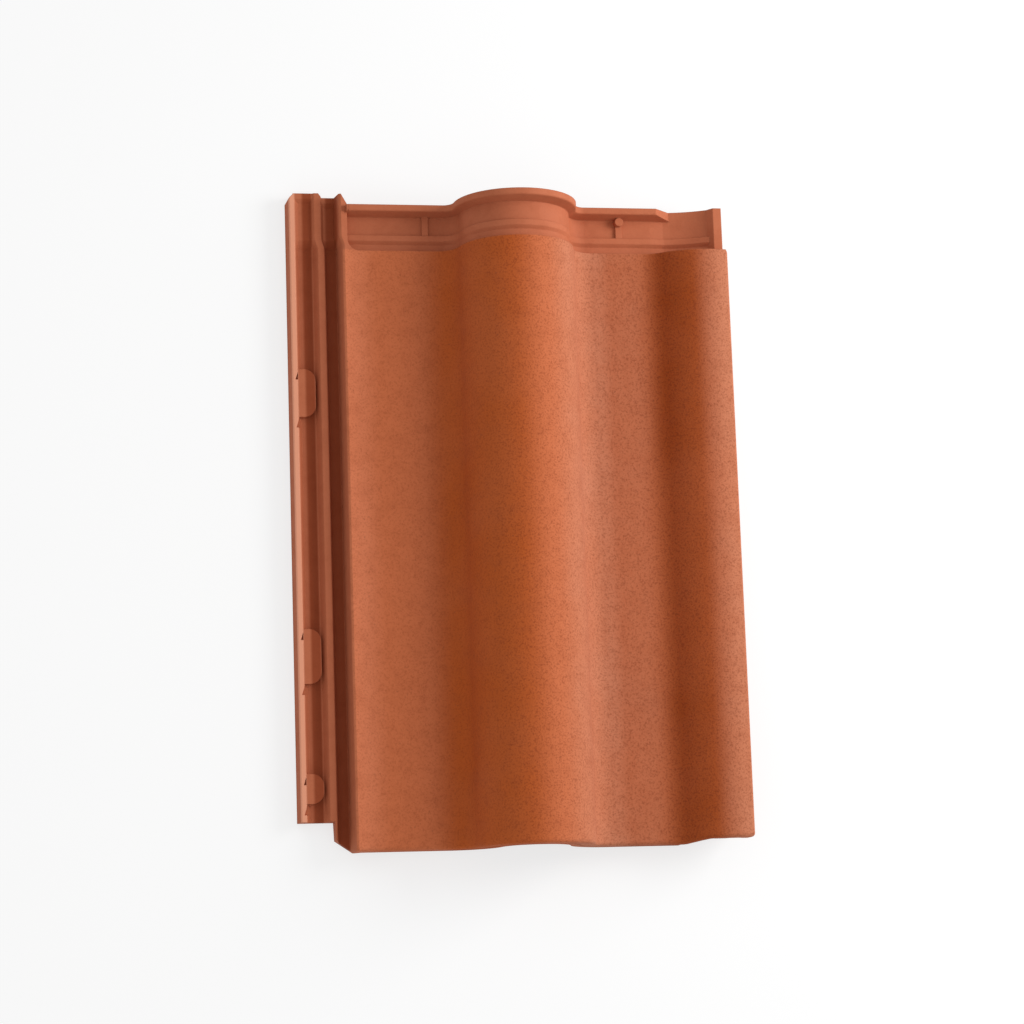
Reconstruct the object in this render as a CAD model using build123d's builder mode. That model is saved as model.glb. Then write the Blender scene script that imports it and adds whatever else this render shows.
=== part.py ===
"""Pressed clay roof tile with a central roll, a raised cover flap and a side interlock.

Millimetres. X runs across the tile from the side interlock (-X) to the cover flap (+X).
Y runs up the slope of the roof from the nose (-Y) to the head (+Y).
Z is up, away from the roof, and z = 0 is the plane that the tile lies on.
"""
from build123d import *
from math import asin, atan2, cos, degrees, radians, sqrt
import os

# Overall sizes
tile_width = 305.0
pan_length = 441.8
interlock_overhang = 11.2
pan_wall = 12.0
stand_depth = 9.5

# Central roll
roll_x = 3.5
roll_height = 46.0
face_roll_radius = 40.5
face_foot_radius = 15.0

# Left margin of the weather face
margin_width = 16.0
margin_rise = 3.0

# Cover flap
flap_foot_x = 95.5
flap_crest_x = 139.5
flap_height = 15.8
flap_foot_radius = 20.0
flap_edge_land = 4.0
flap_wall = 12.4
flap_shoulder_wall = 11.8

# Side interlock, measured from its outer edge
interlock_width = 37.1
interlock_wall = 7.0
channel_depth = 6.5
outer_rib_drop = 1.0
rib_draft = 1.9
outer_rib_crest = 3.6
outer_rib_flank = 2.6
first_channel_width = 9.9
middle_rib_flank = 3.0
middle_rib_crest = 4.5
middle_rib_back = 1.7
second_channel_width = 7.2

# Head of the side interlock: shallower channels, with the middle rib and pan wall set outwards
head_zone_length = 33.0
head_zone_ramp = 6.0
head_floor_rise = 3.5
head_zone_shift = 2.0

# Fit of the cover flap over the interlock of the next tile
joint_gap = 1.4
side_clearance = 1.0
rib_side_clearance = 2.4
floor_clearance = 1.5
crest_clearance = 1.0
groove_wall_run = 1.5
groove_web_lead = 6.0

# Plan of the head and of the nose
outer_head_corner = 5.0
head_step_inset = 3.0
head_step_run = 2.3
second_head_step = 3.1
pan_corner_inset = 4.3
pan_corner_run = 4.9
nose_step = 20.4
second_nose_step = 8.2
nose_step_inset = 1.0
nose_step_run = 0.5
nose_corner_run = 12.0
flap_setback = 2.8
flap_setback_start_x = 106.0
flap_setback_end_x = 127.0

# Head seat under the tile above: rim, channel and ridge
seat_length = 31.3
seat_drop = 4.5
seat_roll_radius = 38.5
seat_foot_radius = 13.0
seat_corner_radius = 7.5
seat_border = 3.5
rim_width = 4.4
rim_draft = 2.2
rim_height = 9.8
rim_roll_radius = 43.0
rim_foot_radius = 7.0
rim_end_x = 104.7
rim_end_run = 11.7
channel_rim_width = 3.8
channel_rim_draft = 3.0
ridge_offset = 7.6
ridge_width = 4.0
ridge_draft = 2.3
ridge_height = 2.0

# Head under the cover flap: a trough that climbs to a raised band along the edge
trough_start_x = 102.0
trough_foot_x = 111.5
trough_foot_drop = 5.2
trough_middle_x = 128.0
trough_middle_drop = 2.0
trough_edge_x = 141.0
trough_edge_rise = 3.5
edge_band_x = 144.6
edge_band_rise = 8.5
edge_band_inset = 2.0
edge_band_step_start = 1.5
edge_band_step_run = 4.0

# Small marks in the seat: a rib and a nail boss
seat_rib_x = -57.5
seat_rib_width = 4.6
seat_rib_height = 1.6
boss_x = 79.1
boss_rib_width = 4.4
boss_rib_height = 2.0
boss_radius = 3.0
boss_height = 5.0
boss_from_head = 8.6

# Blocks across the outer channel: distance from the nose and length
channel_blocks = ((312.1, 33.5), (131.2, 37.1), (42.4, 20.0))
block_width = 9.4
block_drop = 0.3
block_corner_radius = 8.0

# Nicks in the outer rib at the ends of the blocks
nick_length = 8.6
nick_width = 2.6
nick_depth = 2.2
nick_lead = 1.2

# Underside
nose_lip_width = 7.0
nose_lip_depth = 5.0
weather_rib_width = 6.0
weather_rib_offsets = (14.0, 36.0)
weather_rib_end_x = 106.0
flap_rib_nose_gap = 8.0
nib_width = 32.0
nib_length = 13.0
nib_centres_x = (-76.5, 77.5)
nib_from_head = 40.0
nib_draft_angle = 8.0
interlock_web_run = 8.0
interlock_web_start = 1.0

# Soft edges
rib_edge_radius = 0.9
pan_edge_chamfer = 1.3
flap_edge_radius = 1.8
nose_edge_radius = 2.5
rim_edge_radius = 1.2

# Overlap of joined features, so that their faces don't just touch
overlap = 1.0

# Places worked out from the sizes
tile_length = pan_length + interlock_overhang
left_x = -tile_width / 2
right_x = tile_width / 2
nose_y = -tile_length / 2
head_y = tile_length / 2
pan_head_y = head_y - interlock_overhang
pan_level = stand_depth + pan_wall
pan_left_x = left_x + interlock_width
seat_left_x = pan_left_x + seat_border
shoulder_y = pan_head_y - seat_length
channel_level = interlock_wall
rib_level = channel_level + channel_depth
outer_rib_level = rib_level - outer_rib_drop
head_channel_level = channel_level + head_floor_rise
pitch = tile_width - interlock_width + joint_gap
rim_level = pan_level - seat_drop + rim_height
head_zone_y = head_y - head_zone_length
ramp_y = head_zone_y - head_zone_ramp
clear_above = pan_level + roll_height + 30.0


def across(y):
    """Section plane at a place along the tile, with its normal towards the nose."""
    return Plane.XZ.offset(-y)


def roll_foot(radius, foot):
    """Half width of the roll, where its foot meets the flat of the pan."""
    return sqrt((radius + foot) ** 2 - (foot + radius - roll_height) ** 2)


def roll_line(level, radius, foot, start_x, end_x):
    """Flat, foot, roll, foot and flat of one layer of the tile, from left to right."""
    centre_z = level + roll_height - radius
    half = roll_foot(radius, foot)
    tilt = degrees(atan2(level + foot - centre_z, half))
    Line((start_x, level), (roll_x - half, level))
    CenterArc((roll_x - half, level + foot), foot, 270, 90 - tilt)
    CenterArc((roll_x, centre_z), radius, 180 - tilt, 2 * tilt - 180)
    CenterArc((roll_x + half, level + foot), foot, 180 + tilt, 90 - tilt)
    Line((roll_x + half, level), (end_x, level))


def under(depth):
    """Level, radius and foot of a layer parallel to the weather face, depth below it."""
    return (pan_level - depth, face_roll_radius - depth, face_foot_radius + depth)


def layer_outline(low, high, start_x, low_end_x, high_end_x):
    """Closed outline between two roll lines, each given as level, radius and foot."""
    roll_line(*low, start_x, low_end_x)
    roll_line(*high, start_x, high_end_x)
    Line((start_x, low[0]), (start_x, high[0]))
    Line((low_end_x, low[0]), (high_end_x, high[0]))


# Flap curve: a concave foot that turns into the convex cover
flap_run = flap_crest_x - flap_foot_x
flap_radius_sum = (flap_run**2 + flap_height**2) / (2 * flap_height)
flap_radius = flap_radius_sum - flap_foot_radius
flap_turn = degrees(asin(flap_run / flap_radius_sum))
flap_end_turn = degrees(asin((right_x - flap_crest_x) / flap_radius))
flap_edge_level = pan_level + flap_height - flap_radius * (1 - cos(radians(flap_end_turn)))
flap_roof = pan_level + flap_height - flap_wall
flap_shoulder_roof = pan_level + flap_height / 2 - flap_shoulder_wall


def flap_line():
    """Foot and crown of the cover flap, from the pan to the right edge of the tile."""
    CenterArc((flap_foot_x, pan_level + flap_foot_radius), flap_foot_radius, 270, flap_turn)
    CenterArc(
        (flap_crest_x, pan_level + flap_height - flap_radius),
        flap_radius,
        90 + flap_turn,
        -(flap_turn + flap_end_turn),
    )


# Places across the side interlock, from its outer edge to the pan
rib_left = left_x + rib_draft
rib_right = rib_left + outer_rib_crest
first_floor_left = rib_right + outer_rib_flank
first_floor_right = first_floor_left + first_channel_width
middle_left = first_floor_right + middle_rib_flank
middle_right = middle_left + middle_rib_crest
second_floor_left = middle_right + middle_rib_back
second_floor_right = second_floor_left + second_channel_width
groove_start_x = left_x + pitch - rib_side_clearance
nose_step_x = middle_right - nose_step_inset


def interlock_top(floor, shift):
    """Corners of the interlock's top: floor is the level of its channels, and shift sets
    the middle rib and the pan wall outwards."""
    return [
        (left_x, 0.0),
        (rib_left, outer_rib_level),
        (rib_right, outer_rib_level),
        (first_floor_left, floor),
        (first_floor_right - shift, floor),
        (middle_left - shift, rib_level),
        (middle_right - shift, rib_level),
        (second_floor_left - shift, floor),
        (second_floor_right - shift, floor),
        (pan_left_x - shift, pan_level + margin_rise),
    ]


def flap_bottom(floor, shift, middle_roof, outer_roof, start_roof):
    """Corners under the flap, from its right edge to the pan: its lip and rib stand in the
    next tile's channels, and its roofs clear the next tile's ribs."""
    rib = floor + floor_clearance
    return [
        (right_x, flap_edge_level),
        (right_x, flap_edge_level - flap_edge_land),
        (second_floor_right - shift + pitch - side_clearance, rib),
        (second_floor_left - shift + pitch + side_clearance, rib),
        (middle_right - shift + pitch + side_clearance, middle_roof),
        (middle_left - shift + pitch - side_clearance, middle_roof),
        (first_floor_right - shift + pitch - side_clearance, rib),
        (first_floor_left + pitch + rib_side_clearance, rib),
        (rib_right + pitch + rib_side_clearance, outer_roof),
        (groove_start_x, start_roof),
        (groove_start_x - groove_wall_run, pan_level - pan_wall),
    ]


def section(top, bottom, shift):
    """Whole section of the tile between the interlock's top and the flap's bottom."""
    Polyline(top)
    width = margin_width + shift
    radius = (width**2 + margin_rise**2) / (2 * margin_rise)
    turn = degrees(asin(width / radius))
    CenterArc((pan_left_x + margin_width, pan_level + radius), radius, 270 - turn, turn)
    roll_line(
        pan_level, face_roll_radius, face_foot_radius, pan_left_x + margin_width, flap_foot_x
    )
    flap_line()
    Polyline(bottom)
    web_x = pan_left_x + interlock_web_run
    roll_line(*under(pan_wall), web_x, groove_start_x - groove_wall_run)
    Polyline(
        (web_x, pan_level - pan_wall),
        (pan_left_x + interlock_web_start, 0.0),
        (left_x, 0.0),
    )


def at(corners):
    """Filter for the vertices of a sketch that lie on the given corners."""
    return lambda vertex: any(
        abs(vertex.X - x) + abs(vertex.Y - z) < overlap / 10 for x, z in corners
    )


def seat_line(lift):
    """Floor of the head seat, lifted by an amount, from its left border to the edge band."""
    level = pan_level - seat_drop + lift
    roll_line(level, seat_roll_radius, seat_foot_radius, seat_left_x, trough_start_x)
    foot = (trough_foot_x, pan_level - trough_foot_drop + lift)
    edge = (trough_edge_x, pan_level + trough_edge_rise + lift)
    Line((trough_start_x, level), foot)
    ThreePointArc(foot, (trough_middle_x, pan_level - trough_middle_drop + lift), edge)


def ridge_outline(low, high):
    """Closed outline between two lines parallel to the seat's floor, run into the edge band."""
    seat_line(low)
    seat_line(high)
    left_level = pan_level - seat_drop
    edge_level = pan_level + trough_edge_rise
    Line((seat_left_x, left_level + low), (seat_left_x, left_level + high))
    Polyline(
        (trough_edge_x, edge_level + low),
        (trough_edge_x + ridge_height, edge_level + low),
        (trough_edge_x + ridge_height, edge_level + high),
        (trough_edge_x, edge_level + high),
    )


field_top = interlock_top(channel_level, 0.0)
field_bottom = flap_bottom(channel_level, 0.0, flap_roof, flap_roof, flap_shoulder_roof)
head_top = interlock_top(head_channel_level, head_zone_shift)
head_bottom = flap_bottom(
    head_channel_level,
    head_zone_shift,
    rib_level + crest_clearance,
    outer_rib_level + crest_clearance,
    outer_rib_level + crest_clearance,
)
zones = {
    "field": (field_top, field_bottom, 0.0),
    "head": (head_top, head_bottom, head_zone_shift),
}


def soft_section(zone):
    """Section of one zone of the tile as a face, with its ribs and its pan edge softened."""
    top, bottom, shift = zones[zone]
    with BuildSketch(mode=Mode.PRIVATE) as drawn:
        with BuildLine():
            section(top, bottom, shift)
        make_face()
        fillet(vertices().filter_by(at(top[1:-2] + bottom[1:-1])), rib_edge_radius)
        chamfer(vertices().filter_by(at(top[-1:])), pan_edge_chamfer)
    return drawn.sketch


with BuildPart() as tile:
    # Body of the tile: the field from the nose, a ramp, and the head zone
    with BuildSketch(across(ramp_y)):
        add(soft_section("field"))
    extrude(amount=ramp_y - nose_y)
    with BuildSketch(across(head_y)):
        add(soft_section("head"))
    extrude(amount=head_zone_length)
    with BuildSketch(across(head_zone_y)):
        add(soft_section("head"))
    with BuildSketch(across(ramp_y)):
        add(soft_section("field"))
    loft(ruled=True)

    # Nose in plan: stepped back at the interlock, and set back a little at the flap
    with BuildSketch(Plane.XY.offset(-overlap)):
        with BuildLine():
            Polyline(
                (left_x - overlap, nose_y + nose_step),
                (nose_step_x - nose_step_run, nose_y + nose_step),
                (nose_step_x, nose_y + second_nose_step),
                (nose_step_x + nose_corner_run, nose_y),
                (flap_setback_start_x, nose_y),
            )
            Spline(
                (flap_setback_start_x, nose_y),
                (flap_setback_end_x, nose_y + flap_setback),
                tangents=((1, 0), (1, 0)),
            )
            Polyline(
                (flap_setback_end_x, nose_y + flap_setback),
                (right_x + overlap, nose_y + flap_setback),
                (right_x + overlap, nose_y - overlap),
                (left_x - overlap, nose_y - overlap),
                (left_x - overlap, nose_y + nose_step),
            )
        make_face()
    extrude(amount=clear_above, mode=Mode.SUBTRACT)

    # Rounded front edge of the weather face, and rounded edge of the flap
    front_edges = (
        edges()
        .filter_by_position(Axis.Y, nose_y - overlap, nose_y + second_nose_step)
        .filter_by(lambda edge: edge.bounding_box().size.Y < second_nose_step)
        .filter_by(lambda edge: edge.center().Z > pan_level - overlap)
        .filter_by(lambda edge: edge.bounding_box().min.X > pan_left_x - overlap / 2)
        .filter_by(lambda edge: edge.center().X < right_x - overlap / 2)
    )
    fillet(front_edges, nose_edge_radius)
    flap_edges = edges().filter_by(
        lambda edge: edge.bounding_box().min.X > right_x - overlap / 2
        and edge.bounding_box().size.Y > nose_edge_radius
        and abs(edge.center().Z - flap_edge_level) < overlap / 2
    )
    fillet(flap_edges, flap_edge_radius)

    # Web that closes the grooves of the flap from below the shoulder to the head zone
    rib_middle_x = (first_floor_left + first_floor_right) / 2 + pitch
    lip_middle_x = (second_floor_left + second_floor_right) / 2 + pitch
    web_start_x = groove_start_x - groove_wall_run
    outer_web_level = outer_rib_level + crest_clearance
    middle_web_level = rib_level + crest_clearance
    with BuildSketch(across(head_zone_y)):
        with Locations((web_start_x, outer_web_level)):
            Rectangle(
                rib_middle_x - web_start_x,
                flap_roof + overlap - outer_web_level,
                align=(Align.MIN, Align.MIN),
            )
        with Locations((rib_middle_x, middle_web_level)):
            Rectangle(
                lip_middle_x - rib_middle_x,
                flap_roof + overlap - middle_web_level,
                align=(Align.MIN, Align.MIN),
            )
    extrude(amount=head_zone_y - shoulder_y + groove_web_lead)

    # Seat under the tile above: the weather face drops from its shoulder to the head
    with BuildPart(mode=Mode.PRIVATE) as seat:
        with BuildSketch(across(head_y + overlap)):
            with BuildLine():
                seat_line(0.0)
                Polyline(
                    (trough_edge_x, pan_level + trough_edge_rise),
                    (edge_band_x, pan_level + edge_band_rise),
                    (right_x + overlap, pan_level + edge_band_rise),
                    (right_x + overlap, clear_above),
                    (seat_left_x, clear_above),
                    (seat_left_x, pan_level - seat_drop),
                )
            make_face()
        extrude(amount=head_y + overlap - shoulder_y)
        fillet(
            edges().filter_by(Axis.Z).group_by(Axis.X)[0].group_by(Axis.Y)[0],
            seat_corner_radius,
        )
    add(seat.part, mode=Mode.SUBTRACT)

    # Right edge of the head, inset beside the seat
    with BuildSketch(Plane.XY.offset(-overlap)):
        with BuildLine():
            Polyline(
                (right_x - edge_band_inset, head_y + overlap),
                (right_x - edge_band_inset, shoulder_y + edge_band_step_start),
                (right_x, shoulder_y + edge_band_step_start - edge_band_step_run),
                (right_x + overlap, shoulder_y + edge_band_step_start - edge_band_step_run),
                (right_x + overlap, head_y + overlap),
                close=True,
            )
        make_face()
    extrude(amount=clear_above, mode=Mode.SUBTRACT)

    # Head edge, stepped in plan from the pan to the interlock
    head_step_x = middle_left - head_zone_shift + head_step_inset
    pan_corner_x = pan_left_x + pan_corner_inset
    with BuildSketch(Plane.XY.offset(-overlap)):
        with BuildLine():
            Polyline(
                (right_x + overlap, pan_head_y),
                (pan_corner_x, pan_head_y),
                (pan_corner_x - pan_corner_run, head_y - second_head_step),
                (head_step_x + head_step_run, head_y - second_head_step),
                (head_step_x, head_y),
                (left_x + outer_head_corner, head_y),
                (left_x, head_y - outer_head_corner),
                (left_x - overlap, head_y - outer_head_corner),
                (left_x - overlap, head_y + overlap),
                (right_x + overlap, head_y + overlap),
                close=True,
            )
        make_face()
    extrude(amount=clear_above, mode=Mode.SUBTRACT)

    # Rim along the head of the pan and over the roll, its front face drafted
    seat_low = (pan_level - seat_drop - overlap, seat_roll_radius, seat_foot_radius)
    seat_top = (pan_level - seat_drop, seat_roll_radius, seat_foot_radius)
    rim_high = (rim_level, rim_roll_radius, rim_foot_radius)
    rim_foot_x = rim_end_x + rim_end_run
    with BuildSketch(across(pan_head_y)):
        with BuildLine():
            layer_outline(seat_low, rim_high, pan_corner_x, rim_foot_x, rim_end_x)
        make_face()
    extrude(amount=rim_width)
    with BuildSketch(across(pan_head_y - rim_width)):
        with BuildLine():
            layer_outline(seat_low, rim_high, pan_corner_x, rim_foot_x, rim_end_x)
        make_face()
    with BuildSketch(across(pan_head_y - rim_width - rim_draft)):
        with BuildLine():
            layer_outline(seat_low, seat_top, pan_corner_x, rim_foot_x, rim_foot_x)
        make_face()
    loft(ruled=True)

    # Rounded top of the rim, on the side of the seat
    rim_edges = (
        edges()
        .filter_by_position(
            Axis.Y, pan_head_y - rim_width - overlap / 10, pan_head_y - rim_width + overlap / 10
        )
        .filter_by(lambda edge: edge.center().Z > rim_level - overlap)
        .filter_by(lambda edge: edge.bounding_box().size.X > rim_edge_radius)
    )
    fillet(rim_edges, rim_edge_radius)

    # Rims along the head of the side channels, their front faces drafted
    for rim_y, start_x, end_x in (
        (head_y, rib_right - overlap, head_step_x),
        (head_y - second_head_step, head_step_x, pan_left_x - head_zone_shift),
    ):
        with BuildSketch(Plane.YZ.offset(start_x)):
            with BuildLine():
                Polyline(
                    (rim_y, channel_level),
                    (rim_y, outer_rib_level),
                    (rim_y - channel_rim_width, outer_rib_level),
                    (rim_y - channel_rim_width - channel_rim_draft, head_channel_level),
                    (rim_y - channel_rim_width - channel_rim_draft, channel_level),
                    close=True,
                )
            make_face()
        extrude(amount=end_x - start_x)

    # Ridge across the seat and its trough, its nose side drafted
    with BuildSketch(across(shoulder_y + ridge_offset + ridge_width)):
        with BuildLine():
            ridge_outline(-overlap, ridge_height)
        make_face()
    extrude(amount=ridge_width)
    with BuildSketch(across(shoulder_y + ridge_offset)):
        with BuildLine():
            ridge_outline(-overlap, ridge_height)
        make_face()
    with BuildSketch(across(shoulder_y + ridge_offset - ridge_draft)):
        with BuildLine():
            ridge_outline(-overlap, 0.0)
        make_face()
    loft(ruled=True)

    # Rib and nail boss between the ridge and the rim
    ridge_back_y = shoulder_y + ridge_offset + ridge_width
    with BuildSketch(Plane.XY.offset(pan_level - seat_drop - overlap)):
        with Locations((seat_rib_x, ridge_back_y - overlap)):
            Rectangle(
                seat_rib_width,
                pan_head_y - rim_width - ridge_back_y + overlap,
                align=(Align.CENTER, Align.MIN),
            )
        with Locations((boss_x, ridge_back_y - overlap)):
            Rectangle(
                boss_rib_width,
                pan_head_y - rim_width - ridge_back_y + overlap,
                align=(Align.CENTER, Align.MIN),
            )
    extrude(amount=seat_rib_height + overlap)
    with BuildSketch(Plane.XY.offset(pan_level - seat_drop - overlap)):
        with Locations((boss_x, pan_head_y - boss_from_head)):
            Circle(boss_radius)
    extrude(amount=boss_height + overlap)

    # Nicks in the inner side of the outer rib, at both ends of each block
    with BuildSketch(Plane.XY.offset(outer_rib_level - nick_depth)):
        for from_nose, length in channel_blocks:
            for end_y in (
                nose_y + from_nose + length / 2 + nick_lead,
                nose_y + from_nose - length / 2 + nick_lead,
            ):
                with BuildLine():
                    Polyline(
                        (rib_right + overlap, end_y),
                        (rib_right + overlap, end_y - nick_length),
                        (rib_right - nick_width + overlap, end_y - nick_length),
                        close=True,
                    )
                make_face()
    extrude(amount=nick_depth + overlap, mode=Mode.SUBTRACT)

    # Blocks across the outer channel, rounded on the side of the middle rib
    with BuildSketch(Plane.XY.offset(channel_level - overlap)):
        for from_nose, length in channel_blocks:
            with Locations((rib_right, nose_y + from_nose)):
                Rectangle(
                    block_width + outer_rib_flank,
                    length,
                    align=(Align.MIN, Align.CENTER),
                )
        fillet(vertices().group_by(Axis.X)[-1], block_corner_radius)
    extrude(amount=outer_rib_level - block_drop - channel_level + overlap)

    # Underside of the flap, cut back at the nose so that its ribs end behind the edge
    with BuildSketch(across(nose_y + flap_setback + flap_rib_nose_gap)):
        with BuildLine():
            Polyline(
                (groove_start_x, -overlap),
                (groove_start_x, flap_shoulder_roof),
                (rib_right + pitch + rib_side_clearance, flap_roof),
                (right_x + overlap, flap_roof),
                (right_x + overlap, -overlap),
                close=True,
            )
        make_face()
    extrude(amount=flap_setback + flap_rib_nose_gap + overlap, mode=Mode.SUBTRACT)

    # Lip and weather ribs under the nose, parallel to the section
    for offset, width, depth in (
        (0.0, nose_lip_width, nose_lip_depth),
        (weather_rib_offsets[0], weather_rib_width, stand_depth),
        (weather_rib_offsets[1], weather_rib_width, stand_depth),
    ):
        with BuildSketch(across(nose_y + offset + width)):
            with BuildLine():
                layer_outline(
                    under(pan_wall + depth),
                    under(pan_wall - overlap),
                    pan_left_x,
                    weather_rib_end_x,
                    weather_rib_end_x,
                )
            make_face()
        extrude(amount=width)

    # Hanging nibs near the head
    with BuildSketch(Plane.XY.offset(stand_depth + overlap)):
        for nib_x in nib_centres_x:
            with Locations((nib_x, pan_head_y - nib_from_head)):
                Rectangle(nib_width, nib_length)
    extrude(amount=-(stand_depth + overlap), taper=nib_draft_angle)

tile.part.label = "roof_tile"
os.makedirs("parts", exist_ok=True)
export_step(tile.part, "parts/roof_tile.step")
print("volume cm3", round(tile.part.volume / 1000, 1))
print("box", tile.part.bounding_box())
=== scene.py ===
"""Studio view of a pressed clay roof tile that lies on its back on a pale floor.

Metres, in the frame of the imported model: X from the side interlock to the cover flap,
Y from the nose to the head, Z up out of the weather face.
"""
import logging
import math
from dataclasses import dataclass, field
from enum import Enum

import bmesh
import bpy
from mathutils import Matrix, Vector


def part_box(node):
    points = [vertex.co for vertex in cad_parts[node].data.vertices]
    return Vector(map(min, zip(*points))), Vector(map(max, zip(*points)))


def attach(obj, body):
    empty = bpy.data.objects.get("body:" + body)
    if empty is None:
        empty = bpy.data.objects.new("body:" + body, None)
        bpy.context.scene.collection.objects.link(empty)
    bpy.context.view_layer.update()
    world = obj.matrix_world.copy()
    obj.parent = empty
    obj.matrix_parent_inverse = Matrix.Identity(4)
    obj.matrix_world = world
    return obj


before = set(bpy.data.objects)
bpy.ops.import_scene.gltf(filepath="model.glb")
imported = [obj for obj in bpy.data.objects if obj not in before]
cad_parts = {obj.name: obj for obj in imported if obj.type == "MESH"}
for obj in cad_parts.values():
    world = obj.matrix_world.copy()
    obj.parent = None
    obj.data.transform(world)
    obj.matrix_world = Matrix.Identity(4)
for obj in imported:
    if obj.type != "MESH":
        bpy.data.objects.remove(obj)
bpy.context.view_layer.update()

logger = logging.getLogger("roof_tile")

TILE_NODE = "roof_tile"

MIX_SHARE = 0
MIX_FIRST_COLOUR = 6
MIX_SECOND_COLOUR = 7
MIX_COLOUR_OUT = 2

Colour = tuple[float, float, float]
Span = tuple[float, float]
Socket = bpy.types.NodeSocket


class Sum(Enum):
    """Sums that the finishes make with masks and levels."""

    ADD = "ADD"
    SUBTRACT = "SUBTRACT"
    MULTIPLY = "MULTIPLY"
    GREATER = "MAXIMUM"


class Blend(Enum):
    """Ways of laying one colour over another."""

    COVER = "MIX"
    STAIN_AND_PAINTED_SHADE = "MULTIPLY"


def beside(place: float, offsets: Span) -> Span:
    """Two places beside one place, each at its own offset."""
    first, second = offsets
    return place + first, place + second


@dataclass(frozen=True)
class TilePlaces:
    """Places on the tile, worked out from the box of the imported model.

    Args:
        low: Lowest corner of the tile.
        high: Highest corner of the tile.
    """

    low: Vector
    high: Vector
    interlock_width: float = 0.0371
    head_overhang: float = 0.0112
    seat_length: float = 0.0313
    rib_crest_height: float = 0.0110
    rib_crest_width: float = 0.0056
    roll_middle: float = 0.1560
    roll_half: float = 0.0547
    flap_foot: float = 0.2480
    flap_crest: float = 0.2920
    outer_flank: Span = (0.0095, 0.0180)
    inner_flank: Span = (0.0255, 0.0350)

    @property
    def pan_left(self) -> float:
        """Left edge of the weather face."""
        return self.low.x + self.interlock_width

    @property
    def channel_flanks(self) -> tuple[Span, ...]:
        """Right halves of the two side channels, which hold painted shade: a deeper red."""
        return tuple(beside(self.low.x, flank) for flank in (self.outer_flank, self.inner_flank))

    @property
    def pan_head(self) -> float:
        """Head edge of the pans, where the rim stands."""
        return self.high.y - self.head_overhang

    @property
    def shoulder(self) -> float:
        """Line where the weather face ends and the head seat begins."""
        return self.pan_head - self.seat_length

    @property
    def outer_rib_right(self) -> float:
        """Right side of the outer rib's crest."""
        return self.low.x + self.rib_crest_width

    @property
    def roll(self) -> tuple[float, float, float]:
        """Left foot, crest and right foot of the roll."""
        middle = self.low.x + self.roll_middle
        return (middle - self.roll_half, middle, middle + self.roll_half)

    @property
    def flap(self) -> Span:
        """Foot and crest of the cover flap."""
        return (self.low.x + self.flap_foot, self.low.x + self.flap_crest)


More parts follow.
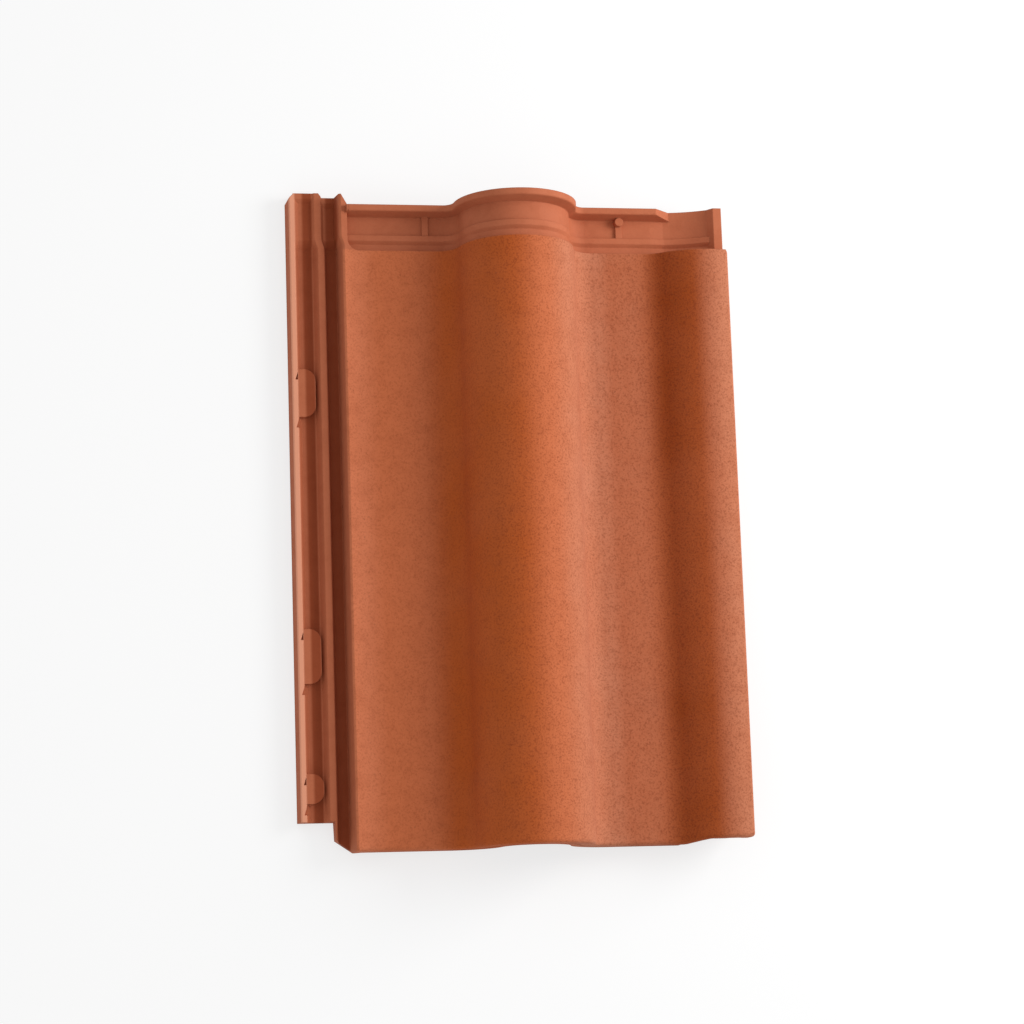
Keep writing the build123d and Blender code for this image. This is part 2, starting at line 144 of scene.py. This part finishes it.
class NodeGraph:
    """A material's node tree, with short calls for the nodes that the finishes share."""

    def __init__(self, name: str) -> None:
        """Starts an empty material of that name."""
        self.material = bpy.data.materials.new(name)
        self.material.use_nodes = True
        self.tree = self.material.node_tree
        self.tree.nodes.clear()
        self.output = self.tree.nodes.new("ShaderNodeOutputMaterial")

    def add(self, kind: str, **settings: object) -> bpy.types.Node:
        """Adds a node.

        Args:
            kind: The node's type.
            settings: Properties of the node to set.

        Returns:
            The new node.
        """
        node = self.tree.nodes.new(kind)
        for key, value in settings.items():
            setattr(node, key, value)
        return node

    def link(self, source: Socket, target: Socket) -> None:
        """Joins two sockets."""
        self.tree.links.new(source, target)

    def feed(self, target: Socket, value: "Socket | float | Colour") -> None:
        """Links a socket, or sets its value where it is given a number or a colour."""
        if isinstance(value, bpy.types.NodeSocket):
            self.link(value, target)
        elif isinstance(value, tuple) and target.type == "RGBA":
            target.default_value = (*value, 1.0)
        else:
            target.default_value = value

    def place(self) -> Socket:
        """Object coordinates, in metres."""
        return self.add("ShaderNodeTexCoord").outputs["Object"]

    def noise(self, vector: Socket, size: float, detail: float, roughness: float) -> Socket:
        """Noise whose patches are about one size across.

        Args:
            vector: Coordinates, in metres.
            size: Width of a patch, in metres.
            detail: Octaves of finer noise.
            roughness: Weight of the finer octaves.

        Returns:
            The noise, from 0 to 1 about 0.5.
        """
        node = self.add("ShaderNodeTexNoise", noise_dimensions="3D")
        self.link(vector, node.inputs["Vector"])
        node.inputs["Scale"].default_value = 1.0 / size
        node.inputs["Detail"].default_value = detail
        node.inputs["Roughness"].default_value = roughness
        return node.outputs["Fac"]

    def cells(self, vector: Socket, size: float) -> bpy.types.Node:
        """Scattered cells of about one size, for specks and pits."""
        node = self.add("ShaderNodeTexVoronoi", voronoi_dimensions="3D", feature="F1")
        self.link(vector, node.inputs["Vector"])
        node.inputs["Scale"].default_value = 1.0 / size
        return node

    def fade(self, value: Socket, start: float, end: float) -> Socket:
        """Smooth step from 0 at start to 1 at end; start may be the larger."""
        node = self.add("ShaderNodeMapRange", interpolation_type="SMOOTHSTEP")
        self.link(value, node.inputs["Value"])
        if start <= end:
            node.inputs["From Min"].default_value = start
            node.inputs["From Max"].default_value = end
        else:
            node.inputs["From Min"].default_value = end
            node.inputs["From Max"].default_value = start
            node.inputs["To Min"].default_value = 1.0
            node.inputs["To Max"].default_value = 0.0
        return node.outputs["Result"]

    def calc(self, kind: Sum, first: "Socket | float", second: "Socket | float") -> Socket:
        """One sum on two values."""
        node = self.add("ShaderNodeMath", operation=kind.value)
        self.feed(node.inputs[0], first)
        self.feed(node.inputs[1], second)
        return node.outputs["Value"]

    def blend(
        self,
        factor: "Socket | float",
        low: "Socket | Colour",
        high: "Socket | Colour",
        way: Blend = Blend.COVER,
    ) -> Socket:
        """Blends two colours.

        Args:
            factor: Share of the second colour.
            low: First colour.
            high: Second colour.
            way: How the second colour is laid over the first.

        Returns:
            The blended colour.
        """
        node = self.add("ShaderNodeMix", data_type="RGBA", blend_type=way.value)
        self.feed(node.inputs[MIX_SHARE], factor)
        self.feed(node.inputs[MIX_FIRST_COLOUR], low)
        self.feed(node.inputs[MIX_SECOND_COLOUR], high)
        return node.outputs[MIX_COLOUR_OUT]

    def bump(self, height: Socket, depth: float, strength: "Socket | float", below: Socket) -> Socket:
        """Relief of a given depth in metres, on top of the relief below it."""
        node = self.add("ShaderNodeBump")
        node.inputs["Distance"].default_value = depth
        self.feed(node.inputs["Strength"], strength)
        self.link(height, node.inputs["Height"])
        self.link(below, node.inputs["Normal"])
        return node.outputs["Normal"]


@dataclass(frozen=True)
class Band:
    """Stretch across the tile with a colour of its own laid over the clay, used here for painted light
    and painted shade.

    Args:
        rise: Places where it starts to show and where it shows in full.
        fall: Places where it has gone and where it starts to go.
        colour: Its colour.
        way: How its colour is laid over the clay.
    """

    rise: Span
    fall: Span
    colour: Colour
    way: Blend = Blend.COVER

    def lay(self, graph: NodeGraph, across: Socket, tone: Socket) -> Socket:
        """Lays the band over the clay.

        Args:
            graph: Node tree of the finish.
            across: Place across the tile.
            tone: Clay colour below the band.

        Returns:
            The clay colour with the band on it.
        """
        share = graph.calc(Sum.MULTIPLY, graph.fade(across, *self.rise), graph.fade(across, *self.fall))
        return graph.blend(share, tone, self.colour, self.way)


@dataclass(frozen=True)
class Patches:
    """Irregular patches in the clay.

    Args:
        size: Width of a patch.
        detail: Octaves of finer noise.
        roughness: Weight of the finer octaves.
        levels: Noise levels at which a patch starts to show and shows in full.
        share: Share of a patch's colour where it shows in full.
    """

    size: float
    detail: float
    roughness: float = 0.55
    levels: Span = (0.0, 1.0)
    share: float = 1.0

    def noise(self, graph: NodeGraph, place: Socket) -> Socket:
        """Plain noise of this size.

        Args:
            graph: Node tree of the finish.
            place: Coordinates, in metres.

        Returns:
            The noise, from 0 to 1 about 0.5.
        """
        return graph.noise(place, self.size, self.detail, self.roughness)

    def mask(self, graph: NodeGraph, place: Socket) -> Socket:
        """Where the patches show.

        Args:
            graph: Node tree of the finish.
            place: Coordinates, in metres.

        Returns:
            The mask, from 0 to 1.
        """
        return graph.fade(self.noise(graph, place), *self.levels)


@dataclass(frozen=True)
class Relief:
    """One layer of fine relief.

    Args:
        patches: Humps of the layer.
        depth: Height of a hump.
        strength: Strength of the layer.
    """

    patches: Patches
    depth: float
    strength: float = 1.0

    def lay(
        self, graph: NodeGraph, place: Socket, below: Socket, strength: Socket | None = None
    ) -> Socket:
        """Lays the layer on the relief below it.

        Args:
            graph: Node tree of the finish.
            place: Coordinates, in metres.
            below: Normal of the relief below.
            strength: Strength that changes over the tile, in place of the layer's own.

        Returns:
            The normal with the layer on it.
        """
        level = self.strength if strength is None else strength
        return graph.bump(self.patches.noise(graph, place), self.depth, level, below)


@dataclass(frozen=True)
class FiredClay:
    """Matt fired terracotta: sanded on the weather face, smooth where it was pressed, with painted
    light and painted shade in its colour across the tile.
    """

    places: TilePlaces
    # painted light: the left pan is painted lighter than the right pan's clay, and its margin by the
    # interlock lighter still
    margin_painted_light: Colour = (0.590, 0.172, 0.076)
    left_pan_painted_light: Colour = (0.520, 0.134, 0.048)
    right_pan: Colour = (0.410, 0.119, 0.053)
    # painted shade: a more saturated red-brown on the roll's left flank, which faces away from the key
    # lamp
    painted_shade_orange: Colour = (0.430, 0.082, 0.010)
    # painted shade: a darker red-brown on the cover flap's slope, which faces away from the key lamp
    flap_slope_painted_shade: Colour = (0.305, 0.053, 0.004)
    # painted light: a paler pink on the slopes that face the key lamp, right of the roll's crest and
    # right of the flap's crest
    painted_light_pink: Colour = (0.490, 0.172, 0.090)
    pits: Colour = (0.68, 0.60, 0.54)
    # painted shade: deeper red in the right halves of the side channels
    channel_shade: Colour = (0.58, 0.38, 0.20)
    deep: Colour = (0.300, 0.066, 0.024)
    warm: Colour = (0.480, 0.122, 0.042)
    pressed: Colour = (0.450, 0.124, 0.053)
    # paler crest of the outer rib: partly the clay's own colour, partly painted highlight
    pale: Colour = (0.720, 0.300, 0.180)
    speck: Colour = (0.150, 0.042, 0.019)
    margin_fall: Span = (0.026, 0.008)
    orange_rise: Span = (-0.014, 0.008)
    orange_fall: Span = (0.014, -0.010)
    painted_light_rise: Span = (0.012, 0.036)
    painted_light_fall: Span = (0.014, 0.002)
    slope_rise: Span = (-0.010, 0.012)
    slope_fall: Span = (-0.001, -0.014)
    crest_rise: Span = (-0.006, 0.010)
    shade_rise: float = 0.0025
    shade_fall: float = 0.0015
    edge_blur: float = 0.0008
    soft_edge: float = 0.0009
    soft_edge_samples: int = 6
    clouds: Patches = Patches(0.070, 2.0, levels=(0.30, 0.70), share=0.30)
    mottle: Patches = Patches(0.011, 4.0, 0.6, levels=(0.40, 0.80), share=0.25)
    grain: Patches = Patches(0.0013, 2.0, 0.7, levels=(0.44, 0.72))
    grain_share_pressed: float = 0.15
    grain_share_left_pan: float = 0.45
    grain_share_past_roll: float = 0.40
    speck_size: float = 0.0032
    speck_reach: Span = (0.24, 0.08)
    speck_groups: Patches = Patches(0.006, 1.0, levels=(0.56, 0.66), share=0.35)
    waves: Relief = Relief(Patches(0.030, 2.0), 0.0008, 0.25)
    lumps: Relief = Relief(Patches(0.0045, 3.0, 0.6), 0.0004, 0.35)
    sand: Relief = Relief(Patches(0.0013, 3.0, 0.75), 0.00032)
    sand_strength_pressed: float = 0.15
    sand_strength_face: float = 0.75
    gloss: float = 0.30
    roughness_face: float = 0.92
    roughness_pressed: float = 0.78
    roughness_change: float = 0.20
    roughness_patches: Patches = Patches(0.011, 3.0)

    def build(self) -> bpy.types.Material:
        """Makes the material.

        Returns:
            The terracotta material.
        """
        graph = NodeGraph("fired_terracotta")
        place = graph.place()
        split = graph.add("ShaderNodeSeparateXYZ")
        graph.link(place, split.inputs["Vector"])
        across, along, up = split.outputs["X"], split.outputs["Y"], split.outputs["Z"]

        face = self._weather_face(graph, across, along)
        colour = self._colour(graph, place, face, across, up)
        relief = self._relief(graph, place, face)

        shader = graph.add("ShaderNodeBsdfPrincipled")
        shader.inputs["Specular IOR Level"].default_value = self.gloss
        graph.link(colour, shader.inputs["Base Color"])
        graph.link(self._roughness(graph, place, face), shader.inputs["Roughness"])
        graph.link(relief, shader.inputs["Normal"])
        graph.link(shader.outputs["BSDF"], graph.output.inputs["Surface"])
        return graph.material

    def _weather_face(self, graph: NodeGraph, across: Socket, along: Socket) -> Socket:
        """Mask of the sanded weather face, right of the interlock and below the shoulder."""
        left = self.places.pan_left
        right_of_interlock = graph.fade(across, left - self.edge_blur, left + self.edge_blur)
        shoulder = self.places.shoulder
        below_shoulder = graph.fade(along, shoulder + self.edge_blur, shoulder - self.edge_blur)
        return graph.calc(Sum.MULTIPLY, right_of_interlock, below_shoulder)

    def _colour(
        self, graph: NodeGraph, place: Socket, face: Socket, across: Socket, up: Socket
    ) -> Socket:
        """Clay colour: clouds, mottling, dark specks, painted shade in the side channels, and a paler
        crest on the outer rib that is partly the clay's own colour and partly painted highlight.
        """
        tone = self._bands(graph, across)
        clouds = graph.calc(Sum.MULTIPLY, self.clouds.mask(graph, place), self.clouds.share)
        tone = graph.blend(clouds, tone, self.warm)
        tone = graph.blend(graph.calc(Sum.SUBTRACT, 1.0, face), tone, self.pressed)

        mottle = graph.calc(Sum.MULTIPLY, self.mottle.mask(graph, place), self.mottle.share)
        tone = graph.blend(mottle, tone, self.deep)

        grain = self.grain.mask(graph, place)
        coarse = graph.fade(across, self.places.roll[0], self.places.roll[1])
        added = graph.calc(Sum.MULTIPLY, coarse, self.grain_share_past_roll)
        share = graph.calc(Sum.ADD, added, self.grain_share_left_pan)
        share = graph.calc(Sum.ADD, graph.calc(Sum.MULTIPLY, face, share), self.grain_share_pressed)
        tone = graph.blend(graph.calc(Sum.MULTIPLY, grain, share), tone, self.pits, Blend.STAIN_AND_PAINTED_SHADE)

        cells = graph.cells(place, self.speck_size)
        near = graph.fade(cells.outputs["Distance"], *self.speck_reach)
        chosen = self.speck_groups.mask(graph, place)
        specks = graph.calc(Sum.MULTIPLY, graph.calc(Sum.MULTIPLY, near, chosen), face)
        specks = graph.calc(Sum.MULTIPLY, specks, self.speck_groups.share)
        tone = graph.blend(specks, tone, self.speck)

        # painted shade: deeper red in the right halves of the side channels
        for start, end in self.places.channel_flanks:
            rise, fall = (start, start + self.shade_rise), (end, end - self.shade_fall)
            tone = Band(rise, fall, self.channel_shade, Blend.STAIN_AND_PAINTED_SHADE).lay(graph, across, tone)

        # paler top of the outer rib: partly the clay's own colour, partly painted highlight
        crest_right = self.places.outer_rib_right
        on_rib = graph.fade(across, crest_right + self.edge_blur, crest_right - self.edge_blur)
        crest = self.places.rib_crest_height
        on_top = graph.fade(up, crest - self.edge_blur, crest + self.edge_blur)
        pale = graph.calc(Sum.MULTIPLY, on_rib, on_top)
        return graph.blend(pale, tone, self.pale)

    def _bands(self, graph: NodeGraph, across: Socket) -> Socket:
        """Clay colour across the tile, with painted light and shade: a lighter left pan and margin, a
        more saturated red-brown as painted shade on slopes that face the interlock, and a paler pink as
        painted light on slopes that face the other way.
        """
        left, crest, right = self.places.roll
        foot, top = self.places.flap
        # painted light: the left pan and its margin are painted lighter than the right pan
        by_edge = graph.fade(across, *beside(self.places.pan_left, self.margin_fall))
        pan = graph.blend(by_edge, self.left_pan_painted_light, self.margin_painted_light)
        tone = graph.blend(graph.fade(across, crest, right), pan, self.right_pan)
        bands = (
            # painted shade on the roll's left flank
            Band(beside(left, self.orange_rise), beside(crest, self.orange_fall), self.painted_shade_orange),
            # painted light on the roll's right flank
            Band(beside(crest, self.painted_light_rise), beside(right, self.painted_light_fall), self.painted_light_pink),
            # painted shade on the flap's slope
            Band(beside(foot, self.slope_rise), beside(top, self.slope_fall), self.flap_slope_painted_shade),
        )
        for band in bands:
            tone = band.lay(graph, across, tone)
        # painted light on the slope right of the flap's crest
        past_crest = graph.fade(across, *beside(top, self.crest_rise))
        return graph.blend(past_crest, tone, self.painted_light_pink)

    def _relief(self, graph: NodeGraph, place: Socket, face: Socket) -> Socket:
        """Sandy grain on the weather face over the slight unevenness of pressed clay."""
        soft = graph.add("ShaderNodeBevel", samples=self.soft_edge_samples)
        soft.inputs["Radius"].default_value = self.soft_edge
        waves = self.waves.lay(graph, place, soft.outputs["Normal"])
        lumps = self.lumps.lay(graph, place, waves)
        on_face = graph.calc(Sum.MULTIPLY, face, self.sand_strength_face)
        strength = graph.calc(Sum.ADD, on_face, self.sand_strength_pressed)
        return self.sand.lay(graph, place, lumps, strength)

    def _roughness(self, graph: NodeGraph, place: Socket, face: Socket) -> Socket:
        """Roughness: matt on the face, a little tighter on the pressed interlock."""
        span = graph.calc(Sum.MULTIPLY, face, self.roughness_face - self.roughness_pressed)
        level = graph.calc(Sum.ADD, span, self.roughness_pressed)
        change = graph.calc(Sum.SUBTRACT, self.roughness_patches.noise(graph, place), 0.5)
        return graph.calc(Sum.ADD, level, graph.calc(Sum.MULTIPLY, change, self.roughness_change))


@dataclass(frozen=True)
class RimEnd:
    """Left end of the head rim, where it meets the raised border beside the side channels.

    Args:
        places: Places on the tile.
        start: Left end, from the left side of the tile.
        length: Length across the tile.
        slant: Amount that the left end leans in at the top.
        section: Outline across the rim, as places from the head edge and above the floor.
    """

    places: TilePlaces
    start: float = 0.0390
    length: float = 0.0027
    slant: float = 0.0010
    section: tuple[Span, ...] = (
        (-0.00005, 0.0165),
        (-0.00005, 0.02675),
        (-0.0034, 0.02675),
        (-0.0042, 0.0263),
        (-0.0046, 0.0254),
        (-0.0066, 0.0170),
        (-0.0066, 0.0165),
    )

    def build(self, material: bpy.types.Material) -> bpy.types.Object:
        """Makes the piece.

        Args:
            material: Finish that it shares with the tile.

        Returns:
            The finished piece.
        """
        low, head = self.places.low, self.places.pan_head
        lowest = self.section[0][1]
        highest = max(level for _, level in self.section)
        mesh = bpy.data.meshes.new("rim_end")
        shape = bmesh.new()
        rings = []
        for offset, lean in ((self.start, self.slant), (self.start + self.length, 0.0)):
            ring = []
            for along, level in self.section:
                rise = (level - lowest) / (highest - lowest)
                place = (low.x + offset + lean * rise, head + along, low.z + level)
                ring.append(shape.verts.new(place))
            rings.append(ring)
        left, right = rings
        shape.faces.new(left)
        shape.faces.new(tuple(reversed(right)))
        for index in range(len(self.section)):
            after = (index + 1) % len(self.section)
            shape.faces.new((left[index], right[index], right[after], left[after]))
        bmesh.ops.recalc_face_normals(shape, faces=shape.faces)
        shape.to_mesh(mesh)
        shape.free()
        mesh.materials.append(material)
        piece = bpy.data.objects.new("rim_end", mesh)
        bpy.context.scene.collection.objects.link(piece)
        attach(piece, "root")
        return piece


@dataclass(frozen=True)
class PaleFloor:
    """White studio floor that keeps the tile's shadow."""

    colour: Colour = (0.90, 0.90, 0.90)
    width: float = 40.0
    gap: float = 0.0001
    glow_share: float = 0.70

    def build(self, rest_level: float) -> bpy.types.Object:
        """Makes the floor.

        Args:
            rest_level: Height of the plane that the tile lies on.

        Returns:
            The floor object.
        """
        mesh = bpy.data.meshes.new("floor")
        shape = bmesh.new()
        bmesh.ops.create_grid(shape, x_segments=1, y_segments=1, size=self.width / 2)
        bmesh.ops.translate(shape, vec=(0.0, 0.0, rest_level - self.gap), verts=shape.verts)
        shape.to_mesh(mesh)
        shape.free()
        mesh.materials.append(self._material())
        floor = bpy.data.objects.new("floor", mesh)
        bpy.context.scene.collection.objects.link(floor)
        return floor

    def _material(self) -> bpy.types.Material:
        """Matt white that shows as near white to the camera and keeps its shadow."""
        graph = NodeGraph("floor_white")
        matt = graph.add("ShaderNodeBsdfDiffuse")
        graph.feed(matt.inputs["Color"], self.colour)
        glow = graph.add("ShaderNodeEmission")
        mix = graph.add("ShaderNodeMixShader")
        seen = seen_directly(graph)
        graph.link(graph.calc(Sum.MULTIPLY, seen, self.glow_share), mix.inputs[0])
        graph.link(matt.outputs["BSDF"], mix.inputs[1])
        graph.link(glow.outputs["Emission"], mix.inputs[2])
        graph.link(mix.outputs["Shader"], graph.output.inputs["Surface"])
        return graph.material


def seen_directly(graph: NodeGraph) -> Socket:
    """One for camera, glossy and transmission rays, and nought for the light on the tile."""
    path = graph.add("ShaderNodeLightPath")
    seen = graph.calc(Sum.GREATER, path.outputs["Is Camera Ray"], path.outputs["Is Glossy Ray"])
    return graph.calc(Sum.GREATER, seen, path.outputs["Is Transmission Ray"])


@dataclass(frozen=True)
class Lamp:
    """One round studio lamp, placed by its direction from the middle of the tile."""

    name: str
    azimuth: float
    elevation: float
    distance: float
    power: float
    size: float
    colour: Colour = (1.0, 1.0, 1.0)

    def build(self, target: Vector) -> bpy.types.Object:
        """Makes the lamp and turns it to the target.

        Args:
            target: Point that the lamp is aimed at.

        Returns:
            The lamp object.
        """
        data = bpy.data.lights.new(self.name, "AREA")
        data.energy = self.power
        data.color = self.colour
        data.shape = "DISK"
        data.size = self.size
        lamp = bpy.data.objects.new(self.name, data)
        azimuth, elevation = math.radians(self.azimuth), math.radians(self.elevation)
        direction = Vector(
            (
                math.cos(elevation) * math.cos(azimuth),
                math.cos(elevation) * math.sin(azimuth),
                math.sin(elevation),
            )
        )
        lamp.location = target + direction * self.distance
        lamp.rotation_euler = direction.to_track_quat("Z", "Y").to_euler()
        bpy.context.scene.collection.objects.link(lamp)
        return lamp


@dataclass(frozen=True)
class Studio:
    """Lamps, world and floor around the tile."""

    ambient: float = 0.87
    floor: PaleFloor = field(default_factory=PaleFloor)
    lamps: tuple[Lamp, ...] = (
        Lamp("key", azimuth=14.0, elevation=30.0, distance=1.15, power=11.6, size=0.7),
    )

    def build(self, low: Vector, high: Vector) -> None:
        """Makes the studio.

        Args:
            low: Lowest corner of the tile.
            high: Highest corner of the tile.
        """
        scene = bpy.context.scene
        scene.view_settings.view_transform = "Standard"
        self._world(scene)
        self.floor.build(low.z)
        middle = (low + high) / 2
        for lamp in self.lamps:
            lamp.build(middle)

    def _world(self, scene: bpy.types.Scene) -> None:
        """Soft even light, with a white background where the camera sees past the floor."""
        world = bpy.data.worlds.new("studio")
        world.use_nodes = True
        scene.world = world
        tree = world.node_tree
        tree.nodes.clear()
        output = tree.nodes.new("ShaderNodeOutputWorld")
        background = tree.nodes.new("ShaderNodeBackground")
        path = tree.nodes.new("ShaderNodeLightPath")
        level = tree.nodes.new("ShaderNodeMapRange")
        level.inputs["To Min"].default_value = self.ambient
        level.inputs["To Max"].default_value = 1.0
        tree.links.new(path.outputs["Is Camera Ray"], level.inputs["Value"])
        tree.links.new(level.outputs["Result"], background.inputs["Strength"])
        tree.links.new(background.outputs["Background"], output.inputs["Surface"])


@dataclass(frozen=True)
class ViewCamera:
    """Camera at the viewing angle of the reference view, looking down on the tile."""

    place: Vector = field(default_factory=lambda: Vector((-0.3411, -0.3491, 1.9308)))
    pitch: float = -10.57
    turn: float = 9.67
    roll: float = 1.95
    lens: float = 101.7
    sensor: float = 36.0
    reach: float = 100.0

    def build(self) -> bpy.types.Object:
        """Makes the camera and gives it to the scene.

        Returns:
            The camera object.
        """
        data = bpy.data.cameras.new("view")
        data.lens = self.lens
        data.sensor_width = self.sensor
        data.clip_end = self.reach
        camera = bpy.data.objects.new("view", data)
        turned = (
            Matrix.Rotation(math.radians(self.pitch), 4, "X")
            @ Matrix.Rotation(math.radians(self.turn), 4, "Y")
            @ Matrix.Rotation(math.radians(self.roll), 4, "Z")
        )
        camera.matrix_world = Matrix.Translation(self.place) @ turned.transposed()
        bpy.context.scene.collection.objects.link(camera)
        bpy.context.scene.camera = camera
        return camera


@dataclass
class RoofTile:
    """The tile itself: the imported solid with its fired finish."""

    node: bpy.types.Object

    def dress(self, material: bpy.types.Material) -> None:
        """Gives every face of the tile its finish.

        Args:
            material: The fired clay finish.
        """
        for slot in self.node.material_slots:
            slot.material = material
        logger.info("dressed %s with %s", self.node.name, material.name)


def main() -> None:
    """Builds the tile, the studio and the camera, in that order."""
    logging.basicConfig(level=logging.INFO)
    low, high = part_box(TILE_NODE)
    places = TilePlaces(low, high)
    terracotta = FiredClay(places).build()
    RoofTile(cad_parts[TILE_NODE]).dress(terracotta)
    RimEnd(places).build(terracotta)
    Studio().build(low, high)
    ViewCamera().build()
    logger.info("finished the studio view")


if __name__ == "__main__":
    main()
